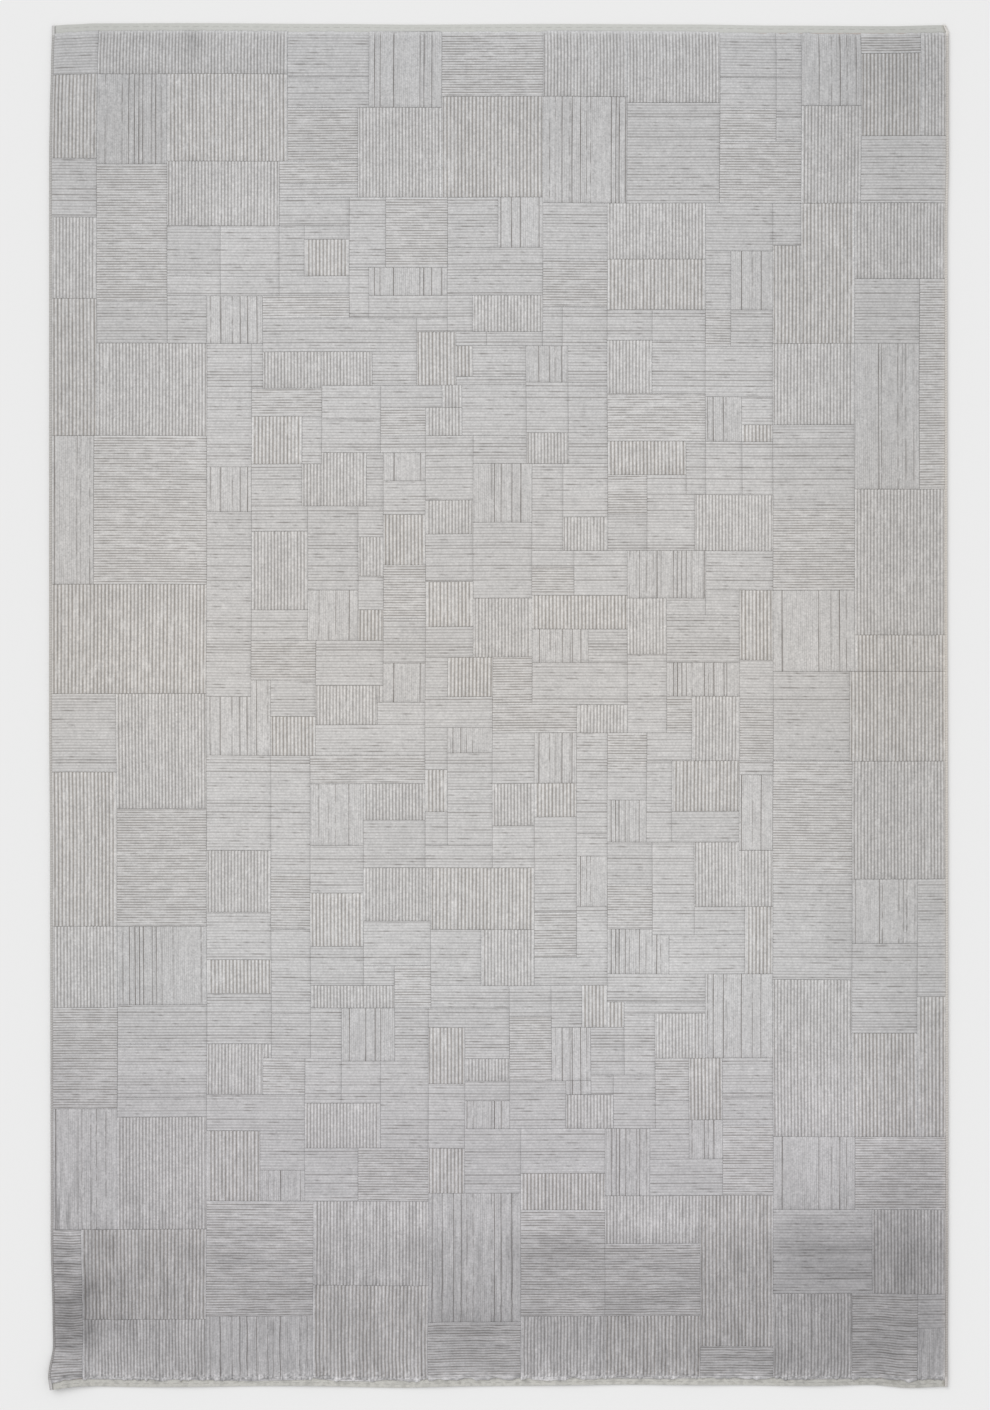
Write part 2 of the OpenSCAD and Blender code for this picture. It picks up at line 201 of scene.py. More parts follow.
def build_flat_weave():
    """Warp and weft threads at right angles, with darker gaps between them and speckles of lint."""
    group, given, made = new_group(
        "Flat weave",
        [("Thread Colour", COLOUR, LIGHT_GREY), ("Gap Colour", COLOUR, MID_GREY),
         ("Tint And Painted Shade", COLOUR, WHITE), ("Warp Pitch", NUMBER, 0.0025), ("Weft Pitch", NUMBER, 0.0015),
         ("Speckle", NUMBER, 0.0), ("Blotches", NUMBER, 0.15), ("Blotch Scale", NUMBER, 160.0)],
        [("Colour", COLOUR), ("Roughness", NUMBER), ("Height", NUMBER)],
    )
    coordinates = group.nodes.new("ShaderNodeTexCoord")
    split = group.nodes.new("ShaderNodeSeparateXYZ")
    group.links.new(coordinates.outputs["Object"], split.inputs[0])
    turns = []
    for axis, pitch in (("X", "Warp Pitch"), ("Y", "Weft Pitch")):
        turn = math_node(group, "DIVIDE", split.outputs[axis], given.outputs[pitch])
        turns.append(math_node(group, "SINE", math_node(group, "MULTIPLY", turn, 2 * math.pi)))
    weave = ranged(group, math_node(group, "MULTIPLY", *turns), 0.5, 0.5)
    lint = noise_node(group, 900.0)
    blot = noise_node(group, given.outputs["Blotch Scale"], 3.0)
    gap = math_node(group, "MULTIPLY", math_node(group, "SUBTRACT", 1.0, weave), 0.3)
    spots = math_node(group, "SUBTRACT", blot, 0.55)
    spots = math_node(group, "MULTIPLY", spots, given.outputs["Speckle"], clamp=True)
    gap = math_node(group, "ADD", gap, spots, clamp=True)
    colour = blend_colours(group, gap, given.outputs["Thread Colour"], given.outputs["Gap Colour"])
    blotches = uneven(group, blot, given.outputs["Blotches"])
    light = math_node(group, "MULTIPLY", uneven(group, lint, 0.2), blotches)
    colour = tint_colour(group, scale_colour(group, colour, light), given.outputs["Tint And Painted Shade"])
    group.links.new(colour, made.inputs["Colour"])
    group.links.new(ranged(group, lint, 0.15, 0.78), made.inputs["Roughness"])
    group.links.new(ranged(group, lint, 0.5, weave), made.inputs["Height"])
    return group


def build_twisted_yarn():
    """Spun yarn: painted shade in the turns of its twist, with loose fibres."""
    group, given, made = new_group(
        "Twisted yarn",
        [("Yarn Colour", COLOUR, LIGHT_GREY), ("Shadow Colour", COLOUR, MID_GREY),
         ("Groove", NUMBER, 0.0), ("Tint And Painted Shade", COLOUR, WHITE), ("Fibre Scale", NUMBER, 1500.0)],
        [("Colour", COLOUR), ("Roughness", NUMBER), ("Height", NUMBER)],
    )
    fibre = noise_node(group, given.outputs["Fibre Scale"], 3.0)
    drift = noise_node(group, 30.0)
    depth = math_node(group, "MULTIPLY", given.outputs["Groove"], uneven(group, fibre, 0.8), clamp=True)
    colour = blend_colours(group, depth, given.outputs["Yarn Colour"], given.outputs["Shadow Colour"])
    light = math_node(group, "MULTIPLY", uneven(group, fibre, 0.3), uneven(group, drift, 0.14))
    colour = tint_colour(group, scale_colour(group, colour, light), given.outputs["Tint And Painted Shade"])
    group.links.new(colour, made.inputs["Colour"])
    group.links.new(ranged(group, fibre, 0.2, 0.7), made.inputs["Roughness"])
    group.links.new(fibre, made.inputs["Height"])
    return group


pile_yarn = build_pile_yarn()
flat_weave = build_flat_weave()
twisted_yarn = build_twisted_yarn()


# ---------------------------------------------------------------- materials

def dressed_material(name, group, values, bump, sheen, depth=0.4 * MM):
    """A material that takes colour, roughness and bump from one of the groups."""
    material = bpy.data.materials.new(name)
    material.use_nodes = True
    tree = material.node_tree
    shader = tree.nodes["Principled BSDF"]
    shader.inputs["Specular IOR Level"].default_value = 0.25
    shader.inputs["Sheen Weight"].default_value = sheen
    shader.inputs["Sheen Roughness"].default_value = 0.6
    cover = tree.nodes.new("ShaderNodeGroup")
    cover.node_tree = group
    for label, value in values.items():
        cover.inputs[label].default_value = value
    for label, socket in (("groove", "Groove"), ("tint_and_painted_shade", "Tint And Painted Shade")):
        if socket in cover.inputs:
            attribute = tree.nodes.new("ShaderNodeAttribute")
            attribute.attribute_name = label
            output = "Fac" if socket == "Groove" else "Color"
            tree.links.new(attribute.outputs[output], cover.inputs[socket])
    relief = tree.nodes.new("ShaderNodeBump")
    relief.inputs["Strength"].default_value = bump
    relief.inputs["Distance"].default_value = depth
    tree.links.new(cover.outputs["Height"], relief.inputs["Height"])
    tree.links.new(cover.outputs["Colour"], shader.inputs["Base Color"])
    tree.links.new(cover.outputs["Roughness"], shader.inputs["Roughness"])
    tree.links.new(relief.outputs["Normal"], shader.inputs["Normal"])
    return material


def grey(red, green, blue):
    """A colour for a shader, given as it looks on a screen, from 0 to 255."""
    return tuple(((c / 255 + 0.055) / 1.055) ** 2.4 for c in (red, green, blue)) + (1,)


def pile_material(name, tip, groove, unevenness, grain, tuft_scale=330.0):
    return dressed_material(
        name, pile_yarn,
        {"Tip Colour": grey(*tip), "Groove Colour": grey(*groove), "Tuft Scale": tuft_scale,
         "Unevenness": unevenness, "Grain": grain},
        bump=0.35, sheen=0.15,
    )


fine_rib_yarn = pile_material("fine rib yarn", (213, 213, 214), (154, 151, 149), 0.9, 0.35)
coarse_rib_yarn = pile_material("coarse rib yarn", (215, 215, 216), (148, 143, 138), 0.9, 0.35)
cross_rib_yarn = pile_material("cross rib yarn", (212, 212, 213), (144, 140, 137), 0.75, 0.2)
cross_line_yarn = pile_material("cross line yarn", (205, 205, 206), (130, 126, 124), 0.7, 0.25)
long_line_yarn = pile_material("long line yarn", (204, 204, 205), (128, 123, 120), 0.95, 0.2)
groove_yarn = pile_material("groove yarn", (203, 192, 186), (178, 166, 160), 0.6, 0.3, 400.0)
head_band_weave = dressed_material(
    "head band weave", flat_weave,
    {"Thread Colour": grey(220, 221, 217), "Gap Colour": grey(172, 171, 166), "Speckle": 0.6}, 0.5, 0.1)
foot_band_weave = dressed_material(
    "foot band weave", flat_weave,
    {"Thread Colour": grey(235, 235, 228), "Gap Colour": grey(149, 148, 140), "Speckle": 3.0,
     "Blotches": 1.2, "Blotch Scale": 75.0}, 0.5, 0.1)
hem_weave = dressed_material(
    "hem weave", flat_weave,
    {"Thread Colour": grey(190, 188, 182), "Gap Colour": grey(130, 126, 120), "Speckle": 0.5}, 0.5, 0.1)
ground_weave = dressed_material(
    "ground weave", flat_weave,
    {"Thread Colour": grey(186, 176, 158), "Gap Colour": grey(110, 98, 82), "Warp Pitch": 0.004,
     "Weft Pitch": 0.003, "Speckle": 1.0}, 0.8, 0.05)
latex_back = dressed_material(
    "latex back", flat_weave,
    {"Thread Colour": grey(206, 200, 186), "Gap Colour": grey(160, 150, 132), "Warp Pitch": 0.009,
     "Weft Pitch": 0.006, "Speckle": 1.5}, 0.9, 0.0)
overcast_yarn = dressed_material(
    "overcast yarn", twisted_yarn,
    {"Yarn Colour": grey(219, 218, 217), "Shadow Colour": grey(166, 163, 160)}, 0.5, 0.1)
stitch_yarn = dressed_material(
    "stitch yarn", twisted_yarn,
    {"Yarn Colour": grey(204, 204, 199), "Shadow Colour": grey(150, 148, 142)}, 0.4, 0.1)
jute_cord = dressed_material(
    "jute cord", twisted_yarn,
    {"Yarn Colour": grey(176, 158, 128), "Shadow Colour": grey(96, 80, 58),
     "Fibre Scale": 1200.0}, 0.6, 0.0)


# ---------------------------------------------------------------- places and shades on the rug

DRAFT_WIDTH, DRAFT_LENGTH = 160, 240
DRAFT_MIDDLE = DRAFT_WIDTH / 2
BAND_END = 241.5  # the outer end of the foot band on the draft


def across(u):
    """Place across the rug of a position on the draft."""
    return (u - DRAFT_MIDDLE) * CM


def on_draft(x, y):
    """Position on the draft of a place on the rug."""
    return x / CM + DRAFT_MIDDLE, (pile_head - y) / CM


def steady(t):
    """0 to 1 along a smooth curve."""
    t = np.clip(t, 0, 1)
    return t * t * (3 - 2 * t)


def through(t, places, amounts):
    """A smooth curve through the amounts at the places."""
    places, amounts = np.asarray(places, float), np.asarray(amounts, float)
    right = np.clip(np.searchsorted(places, t), 1, len(places) - 1)
    left = right - 1
    share = steady((t - places[left]) / (places[right] - places[left]))
    return amounts[left] * (1 - share) + amounts[right] * share


def scatter(first, second=0, seed=0):
    """A steady random number from 0 to 1 for each pair of whole numbers."""
    return np.modf(np.abs(np.sin(first * 12.9898 + second * 78.233 + seed * 37.719)) * 43758.5453)[0]


def streak(index, place, reach, seed):
    """A random number from 0 to 1 for each thread that changes smoothly along it."""
    step = place / reach
    low = np.floor(step)
    share = steady(step - low)
    return scatter(index, low, seed) * (1 - share) + scatter(index, low + 1, seed) * share


# Where the outline strays from straight, in millimetres at places on the draft. Out is positive.
LEFT_EDGE = ([0, 6, 14, 22, 120, 150, 215, 230, 234], [-3.5, -2, 0, 1.2, 1.2, -0.5, -1.5, -4.9, -5.5])
RIGHT_EDGE = ([-1.5, -0.2, 22, 36, 90, 160, 215, 240], [-0.5, 3.8, 3.8, 1.5, 1.5, 3, 3, 2])
HEAD_EDGE = ([0, 3, 8, 25, 50, 65, 90, 115, 130, 150, 160],
             [-3.2, -1.2, 1, 1.5, 0, -1.2, 0, -1, -3, -4, -2])
FOOT_EDGE = ([0, 6, 16, 45, 62, 75, 105, 120, 135, 146, 153, 160],
             [1.5, 0, 1.5, -0.5, 2.6, 0, -2.8, -2, -0.5, -2.4, 3, 0.5])
CORNER_FLARE = ([234, 239.3, BAND_END], [0, 8, 5])
CORNER_LIFT = 7.5 * MM  # how high the foot-left corner curls up
FOOT_RIPPLE = 1.4 * MM  # how high the foot end ripples
SIDE_REACH = 30         # how far in from a long edge the rug follows that edge's stray, on the draft
END_REACH = 25          # the same at the two ends


def lie(points):
    """Moves points of the straight, flat rug to where they lie, with its stray edges and lifted corner."""
    x, y, z = points[:, 0].copy(), points[:, 1].copy(), points[:, 2].copy()
    u, v = on_draft(x, y)
    to_foot_end = BAND_END - v
    near_left, near_right = steady(1 - u / SIDE_REACH), steady(1 - (DRAFT_WIDTH - u) / SIDE_REACH)
    near_head, near_foot = steady(1 - (v + 1.5) / END_REACH), steady(1 - to_foot_end / END_REACH)
    wander = 0.35 * MM * np.sin(y / 0.06 + 2 * np.sin(x / 0.3)) + 0.5 * MM * np.sin(y / 0.17 + x / 0.4)
    drift = 0.3 * MM * np.sin(x / 0.05 + 2 * np.sin(y / 0.3)) + 0.5 * MM * np.sin(x / 0.15 + y / 0.5)
    rough = 0.4 * MM * steady((v - 205) / 30) + 1.1 * MM * steady(1 - u / 9) * steady((v - 190) / 25)
    wander += rough * np.sin(y / 0.008 + 3 * np.sin(x / 0.023) + 2 * np.sin(y / 0.019))
    drift += rough * np.sin(x / 0.009 + 3 * np.sin(y / 0.021) + 2 * np.sin(x / 0.023))
    inside = steady(np.minimum(u, DRAFT_WIDTH - u) / 4) * steady(np.minimum(v, DRAFT_LENGTH - v) / 4)
    x += wander * inside
    x += MM * (near_right * through(v, *RIGHT_EDGE) - near_left * through(v, *LEFT_EDGE))
    y += drift * inside
    y += MM * (near_head * through(u, *HEAD_EDGE) - near_foot * through(u, *FOOT_EDGE))
    x -= MM * steady(1 - u / 7) * through(v, *CORNER_FLARE)
    y -= 4 * MM * steady(1 - u / 4.5) * steady(1 - to_foot_end / 5.5)
    curl = steady(1 - u / 9) * steady(1 - to_foot_end / 7)
    ripple = near_foot * steady(1 - to_foot_end / 8) * (0.5 + 0.5 * np.sin(u / 3.6 + 1))
    z += CORNER_LIFT * curl + FOOT_RIPPLE * ripple
    return np.column_stack([x, y, z])


SCREEN_CURVE = 2.2  # from a share of a colour as it looks on a screen to a share of its light

# How light, how warm and how rosy the pile looks, at places on the draft; its lightness is painted shade
# Painted shade along the rug: darker at the head and towards the foot, where the light falls off and the
# pile's nap shades it
PAINTED_SHADE_ALONG = ([-2, 4, 14, 35, 165, 184, 200, 210, 219, 230, 242],
             [0.955, 0.965, 0.97, 1, 1, 0.985, 0.955, 0.945, 0.9, 0.87, 0.88])
# Painted shade across the rug: darker at the long edges, and painted light lifting the right edge
PAINTED_SHADE_ACROSS = ([-0.1, 0.3, 0.7, 8, 18, 32, 120, 135, 144, 152, 158.9, 159.6, 160.1],
              [0.82, 0.9, 0.965, 0.965, 0.98, 1, 1, 0.98, 0.96, 0.945, 0.95, 1.02, 1.06])
WARMTH_ALONG = ([0, 20, 60, 90, 112, 140, 175, 210, 240], [0, 0.3, 0.55, 1.2, 1.6, 0.9, 0.35, 0.1, 0.1])
ROSE_ALONG = ([0, 165, 200, 240], [0, 0, 1, 0.9])

# Soft patches of painted shade where the pile's nap leans, and of painted light where the darkness is
# negative: [across, along, half width, half length, darkness]
PAINTED_SHADE_MARKS = [
    [2.5, 226, 4, 9, 0.12], [3, 233, 5, 4, 0.07], [10.3, 216.4, 1.8, 2.4, 0.1],
    [6.8, 223.8, 1.9, 1.9, 0.11], [12, 222.3, 4.5, 1.6, 0.06], [11, 230.6, 4, 1.2, 0.06],
    [6.2, 228, 1.3, 6, 0.06], [3, 208, 3, 4, 0.04], [22, 188, 12, 2, 0.03], [78, 189, 7, 2, 0.03],
    [106, 172, 1.5, 6, 0.03], [141, 161, 3, 6, 0.03], [158, 157, 2, 4, 0.04], [34, 219, 5, 3, 0.05],
    [44, 224, 6, 3, 0.04], [91, 217, 8, 4, 0.05], [66, 217, 3, 3, 0.03], [76, 231, 9, 4, 0.05],
    [138, 219, 9, 6, 0.05], [152, 217, 8, 8, 0.08], [149, 234, 7, 5, 0.06], [25.6, 1.3, 1.5, 1.7, 0.09],
    [25, 3.6, 1.6, 1.8, 0.05], [145, 172, 6, 5, -0.04], [5, 220, 4, 4, -0.03], [75, 236, 6, 5, 0.03],
    [135, 216, 6, 6, 0.03], [152, 207, 9, 6, 0.05], [145, 228, 16, 12, 0.05], [120, 237, 14, 3, 0.03],
    [152, 8, 7, 5, 0.03], [120, 42, 22, 11, 0.035], [3, 185, 5, 6, 0.045], [115, 221, 24, 5, 0.045],
    [135, 213, 5, 4, 0.04], [130, 237, 8, 3, 0.03], [15, 115, 18, 26, -0.03], [107, 169, 8, 8, -0.045],
    [141, 193, 11, 12, -0.06], [20, 203, 8, 6, -0.03], [26, 229, 6, 5, -0.035], [146, 230, 6, 5, -0.03],
    [20, 4, 14, 4, -0.02], [85, 4, 12, 4, -0.025], [153, 236, 2, 2, -0.08], [7, 237, 8, 4, -0.05],
    [115, 236, 8, 4, 0.035], [135, 236, 7, 4, 0.03], [109, 213, 6, 3, -0.03],
]
WARM_EDGE, EDGE_WARMTH = 158.9, 1.4  # where the warmer right edge begins, and how much warmer it is
WARM_RED, WARM_BLUE, ROSY_GREEN = 0.008, 0.011, 0.006  # what a step of warmth or rose changes


def tint_and_painted_shade(points):
    """The tint of the pile at each point: painted shade, darker at the head, towards the foot, at the long
    edges and at the marks, painted light on the right edge, and warmer in the middle.
    """
    u, v = on_draft(points[:, 0], points[:, 1])
    light = through(v, *PAINTED_SHADE_ALONG) * through(u, *PAINTED_SHADE_ACROSS)
    # each mark adds painted shade, or painted light where its darkness is negative
    for place, row, half_width, half_length, darkness in PAINTED_SHADE_MARKS:
        light *= 1 - darkness * np.exp(-((u - place) / half_width) ** 2 - ((v - row) / half_length) ** 2)
    warmth = through(v, *WARMTH_ALONG) + EDGE_WARMTH * steady((u - WARM_EDGE) / 0.8)
    rose = through(v, *ROSE_ALONG)
    red, green, blue = light + WARM_RED * warmth, light - ROSY_GREEN * rose, light - WARM_BLUE * warmth
    return np.column_stack([red, green, blue]) ** SCREEN_CURVE


# ---------------------------------------------------------------- meshes

class Skin:
    """The points and faces of one piece while it is made, with how deep in a groove each point is."""

    def __init__(self):
        self.points, self.faces, self.smooth, self.groove, self.tone = [], [], [], [], []
        self.count = 0

    def add(self, points, faces, smooth, groove, tone=1.0):
        points = np.asarray(points, float).reshape(-1, 3)
        self.points.append(points)
        self.groove.append(np.broadcast_to(np.asarray(groove, float).ravel(), len(points)))
        self.tone.append(np.broadcast_to(np.asarray(tone, float).ravel(), len(points)))
        self.faces += [[i + self.count for i in face] for face in faces]
        self.smooth += smooth
        self.count += len(points)

    def finish(self, name, material, node, marked=True):
        """Makes the piece, lays it as the rug lies, and hangs it on the frame in place of its CAD node.

        A piece seen only from below takes none of the painted shade, warmth and marks of the pile.
        """
        flat = np.vstack(self.points)
        mesh = bpy.data.meshes.new(name)
        mesh.from_pydata(lie(flat).tolist(), [], self.faces)
        mesh.polygons.foreach_set("use_smooth", self.smooth)
        groove = mesh.attributes.new("groove", "FLOAT", "POINT")
        groove.data.foreach_set("value", np.concatenate(self.groove))
        # Each point's tint is the painted shade and warmth of the pile, times the point's own tone
        shades = tint_and_painted_shade(flat) if marked else np.ones((len(flat), 3))
        tint = np.column_stack([shades * np.concatenate(self.tone)[:, None], np.ones(len(flat))])
        shade = mesh.attributes.new("tint_and_painted_shade", "FLOAT_COLOR", "POINT")
        shade.data.foreach_set("color", tint.ravel())
        mesh.materials.append(material)
        mesh.update()
        piece = bpy.data.objects.new(name, mesh)
        bpy.context.collection.objects.link(piece)
        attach(piece, "root")
        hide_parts(node)
        return piece


def grid_quads(corner):
    """The four-sided faces between neighbouring points of a grid of point numbers."""
    quads = [corner[:-1, :-1], corner[:-1, 1:], corner[1:, 1:], corner[1:, :-1]]
    return np.stack(quads, -1).reshape(-1, 4).tolist()


def closed_relief(skin, places, stations, heights, groove, base, ribs_along, tone=1.0,
                  base_step=None, fray=0.0, root=0.45):
    """Adds a block whose relief is given at places across its ribs and stations along them.

    heights, groove, tone and fray have a row for each station. base is the height of the flat side,
    which bends with the rug only where base_step says how close its own places across lie. fray
    moves points along the rug, and root is how deep in a groove the foot of the block is, so that
    the foot of its sides takes the groove colour: partly the low pile round it, partly painted shade.
    """
    rows, columns = heights.shape
    run, cross = np.meshgrid(stations, places, indexing="ij")
    x, y = (cross, run) if ribs_along else (run, cross)
    y = y + fray
    kept = [0]
    for i in range(1, columns - 1):
        if base_step and places[i] - places[kept[-1]] >= base_step:
            kept.append(i)
    kept.append(columns - 1)
    top = np.column_stack([x.ravel(), y.ravel(), heights.ravel()])
    flat = np.column_stack([x[:, kept].ravel(), y[:, kept].ravel(), np.full(rows * len(kept), base)])
    upper = np.arange(rows * columns).reshape(rows, columns)
    lower = rows * columns + np.arange(rows * len(kept)).reshape(rows, len(kept))
    faces = grid_quads(upper)
    smooth = [True] * len(faces)
    faces += grid_quads(lower[:, ::-1])
    faces += grid_quads(np.column_stack([lower[:, 0], upper[:, 0]]))
    faces += grid_quads(np.column_stack([upper[:, -1], lower[:, -1]]))
    faces.append(lower[0].tolist() + upper[0, ::-1].tolist())
    faces.append(upper[-1].tolist() + lower[-1, ::-1].tolist())
    smooth += [False] * (len(faces) - len(smooth))
    upward = np.mean(heights) > base
    if ribs_along != upward:
        faces = [face[::-1] for face in faces]
    tone = tone * np.ones((rows, columns))
    grooves = np.concatenate([groove.ravel(), np.full(lower.size, root)])
    tones = np.concatenate([tone.ravel(), tone[:, kept].ravel()])
    skin.add(np.vstack([top, flat]), faces, smooth, grooves, tones)


def block_boxes(node):
    """The lowest and highest corner of each separate block of a CAD node."""
    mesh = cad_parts[node].data
    corners = np.empty(3 * len(mesh.vertices))
    mesh.vertices.foreach_get("co", corners)
    places, same = np.unique(np.round(corners.reshape(-1, 3), 5), axis=0, return_inverse=True)
    same = same.reshape(-1)
    leader = list(range(len(places)))

    def find(i):
        while leader[i] != i:
            leader[i] = leader[leader[i]]
            i = leader[i]
        return i

    for face in mesh.polygons:
        joined = [find(same[i]) for i in face.vertices]
        for other in joined[1:]:
            leader[find(other)] = find(joined[0])
    blocks = {}
    for i, place in enumerate(places):
        blocks.setdefault(find(i), []).append(place)
    boxes = [(np.min(block, axis=0), np.max(block, axis=0)) for block in blocks.values()]
    return sorted(boxes, key=lambda box: (-box[1][1], box[0][0]))


# ---------------------------------------------------------------- raised pile

# The thin dark lines that run along the rug in the smoother blocks, at places across the draft
LONG_LINES = [
    1, 5, 5.7, 7.3, 8.3, 10, 13, 14.2, 15.2, 16, 16.7, 18.3, 19, 20, 22, 27, 28.7, 30.5, 32.6, 34, 35.3,
    37, 39, 40, 41.2, 44.7, 46, 48, 49.8, 51, 53.4, 56.3, 58, 59, 61.4, 66.1, 66.8, 68.2, 70, 72, 73.4,
    74.4, 75.5, 78.8, 79.3, 80.5, 82.4, 84, 87.3, 89.2, 90.2, 91.4, 92.8, 93.2, 94.7, 95.8, 96.5, 100.2,
    101, 101.6, 102.7, 103.4, 104.6, 105.2, 106.4, 107.6, 108.3, 109, 111.2, 111.9, 112.7, 113.5, 114.5,
    116.7, 117.4, 118.4, 120.2, 120.7, 123.4, 125.4, 126.9, 130.6, 137.1, 139.3, 140.8, 142, 143.6,
    147.8, 148.3, 151.2, 152, 152.6, 154,
]

NEAR_END = 3 * MM        # how close to an end of the pile a block is that reaches it
NEAR_SIDE = 6 * MM       # the same at the long edges
FOOT_INSETS = [inset * MM for inset in (2.5, 5, 7.5, 10, 12.5, 15, 17.5)]  # extra stations there
HEAD_INSETS = [inset * MM for inset in (2.5, 5)]
EDGE_GROOVE = 0.08       # how deep in a groove the edge of a block looks, from 0 to 1
SHOULDER = 0.9 * MM      # how far in from its edge a block's pile rounds over
ROUND_OVER = 1.1 * MM    # how far the rounded edge drops
BARE_BORDER = 1.6 * MM   # how far in from its edge a block has no groove
SIDE_SPREAD = 0.08 * MM  # how much farther a block widens sideways than lengthwise
ROOTED = 0.6 * MM        # how far a block's sides reach down into the low pile
TUFT_HEIGHT = 0.2 * MM   # how much the tufts differ in height
LEAN = 1.4 * MM          # how far the pile at the long edges leans out over the overcasting
TRAIL = 1.8 * MM         # how far the pile at an end leans out over the woven band
TRAIL_LENGTH = 7 * MM    # how far in from the band the pile begins to slope down
TRAIL_DROP = 2.2 * MM    # how much lower it is at the band
FRAY = 6.5 * MM          # how ragged the pile is along the foot band
HEAD_FRAY = 0.4          # how ragged it is along the head band, as a share of that
CLUMP = 7 * MM           # how wide a clump of frayed pile is
FRINGE = 20 * MM         # how far in from the foot band the pile is flecked with loose ends
BENDING_FOOT = 12 * CM   # how far in from the foot the blocks' undersides bend with the rug
BENDING_STEP = 12 * MM   # how close the places are where they bend
LINE_HALF_WIDTH = 0.45 * MM  # half the width of the bottom of a long line
LINE_SIDE = 1.3 * MM         # how far from the middle of a long line its sides end


def rib_places(pitch, low, high, crest_share=0.35):
    """Four places to a rib between two edges, with how deep each is from 0 to 1 and its rib's number."""
    quarter = pitch / 4
    first, last = math.ceil((low + BARE_BORDER) / quarter), math.floor((high - BARE_BORDER) / quarter)
    steps = np.arange(first, last + 1)
    share = np.array([1.0, crest_share, 0.0, crest_share])[steps % 4]
    return steps * quarter, share, np.round(steps / 4)


# Each pattern gives the places across the ribs of a block, and how deep the pile is there from 0 to 1
# at every station along them.

def ribbed(pitch, low, high, stations, seed):
    """Even ribs whose grooves run deep and now and then fade out."""
    places, share, rib = rib_places(pitch, low, high)
    run = stations[:, None]
    strength = 0.7 + 0.3 * scatter(rib, 5, seed) + 0.25 * streak(rib, run, 0.025, seed)
    fade = steady((streak(rib, run, 0.014, seed + 1) - 0.05) / 0.12)
    return places, share * np.clip(strength * (0.6 + 0.4 * fade), 0, 1)


def loosely_ribbed(pitch, low, high, stations, seed):
    """Ribs across the rug, less even than the ones along it: some grooves faint, some broken."""
    places, share, rib = rib_places(pitch, low, high)
    run = stations[:, None]
    strength = 0.45 + 0.4 * scatter(rib, 5, seed) + 0.8 * (streak(rib, run, 0.013, seed) - 0.25)
    return places, share * np.clip(strength, 0.1, 1)


def lined(pitch, low, high, stations, seed):
    """Smooth pile with rows of thin lines, some strong, some faint, and most broken into dashes."""
    places, share, row = rib_places(pitch, low, high, 0.25)
    run = stations[:, None]
    strong = scatter(row, 3, seed)
    whole = np.where(strong > 0.85, 0.75, np.where(strong > 0.4, 0.5, 0.32))
    dash = steady((streak(row, run, 0.014, seed + 2) - 0.8) / 0.15)
    return places, share * np.clip(whole * (0.75 + 0.4 * streak(row, run, 0.06, seed)) + 0.5 * dash, 0, 1)


def long_lined(pitch, low, high, stations, seed):
    """Smooth pile with faint close ribs and the thin dark lines that run the whole rug."""
    places, share, rib = rib_places(pitch, low, high, 0.5)
    run = stations[:, None]
    faint = share * (0.1 + 0.25 * streak(rib, run, 0.04, seed))
    half, edge = LINE_HALF_WIDTH, LINE_SIDE
    lines = [across(u) for u in LONG_LINES if low + 2 * edge < across(u) < high - 2 * edge]
    keep = np.ones(len(places), bool)
    columns, depths = [], []
    for number, line in enumerate(lines):
        if columns and line - edge < columns[-1]:
            continue
        keep &= np.abs(places - line) > edge
        strength = 0.55 + 0.45 * scatter(round(line / MM), 0, seed)
        broken = steady((streak(number, run, 0.012, seed + 6) - 0.3) / 0.15) if strength < 0.75 else 1
        ink = strength * (0.7 + 0.4 * streak(number, run, 0.04, seed + 3)) * (0.35 + 0.65 * broken)
        columns += [line - edge, line - half, line + half, line + edge]
        depths += [0 * ink, ink, ink, 0 * ink]
    places = np.concatenate([places[keep], columns])
    depth = np.hstack([faint[:, keep]] + depths)
    order = np.argsort(places)
    return places[order], np.clip(depth[:, order], 0, 1)


def block_reach(low, high, spread):
    """The corners a block's pile reaches to, and whether the block lies at the foot and at the head."""
    at_foot, at_head = low[1] < pile_foot + NEAR_END, high[1] > pile_head - NEAR_END
    at_left, at_right = low[0] < cloth_low.x + NEAR_SIDE, high[0] > cloth_high.x - NEAR_SIDE
    low = low - [LEAN if at_left else spread + SIDE_SPREAD, TRAIL if at_foot else spread, 0]
    high = high + [LEAN if at_right else spread + SIDE_SPREAD, TRAIL if at_head else spread, 0]
    return low, high, at_foot, at_head


def stations_along(low, high, step, ribs_along, at_foot, at_head):
    """Places along a block's ribs, closer together where they run down to an end band."""
    run = 1 if ribs_along else 0
    count = max(2, round((high[run] - low[run] - 2 * SHOULDER) / step))
    inner = np.linspace(low[run] + SHOULDER, high[run] - SHOULDER, count + 1)
    stations = np.concatenate([[low[run]], inner, [high[run]]])
    if ribs_along:
        extra = [low[1] + inset for inset in FOOT_INSETS if at_foot]
        extra += [high[1] - inset for inset in HEAD_INSETS if at_head]
        stations = np.sort(np.concatenate([stations, extra]))
    return stations


def thread_tone(x, y, cross, run, pitch, streaks, seed):
    """How light the threads of a block are: a little streaky, and more so where the pile is worn."""
    u, v = on_draft(x, y)
    worn = 0.18 * steady((v - 190) / 30) + 0.35 * steady(1 - u / 8) * steady((v - 195) / 20)
    thread = streak(np.round(cross / (pitch / 2)), run, 0.014, seed + 9) - 0.5
    strand = streak(np.round(cross / (1.7 * pitch)), run, 0.07, seed + 19) - 0.5
    return streaks * thread + worn * (0.5 * thread + strand)


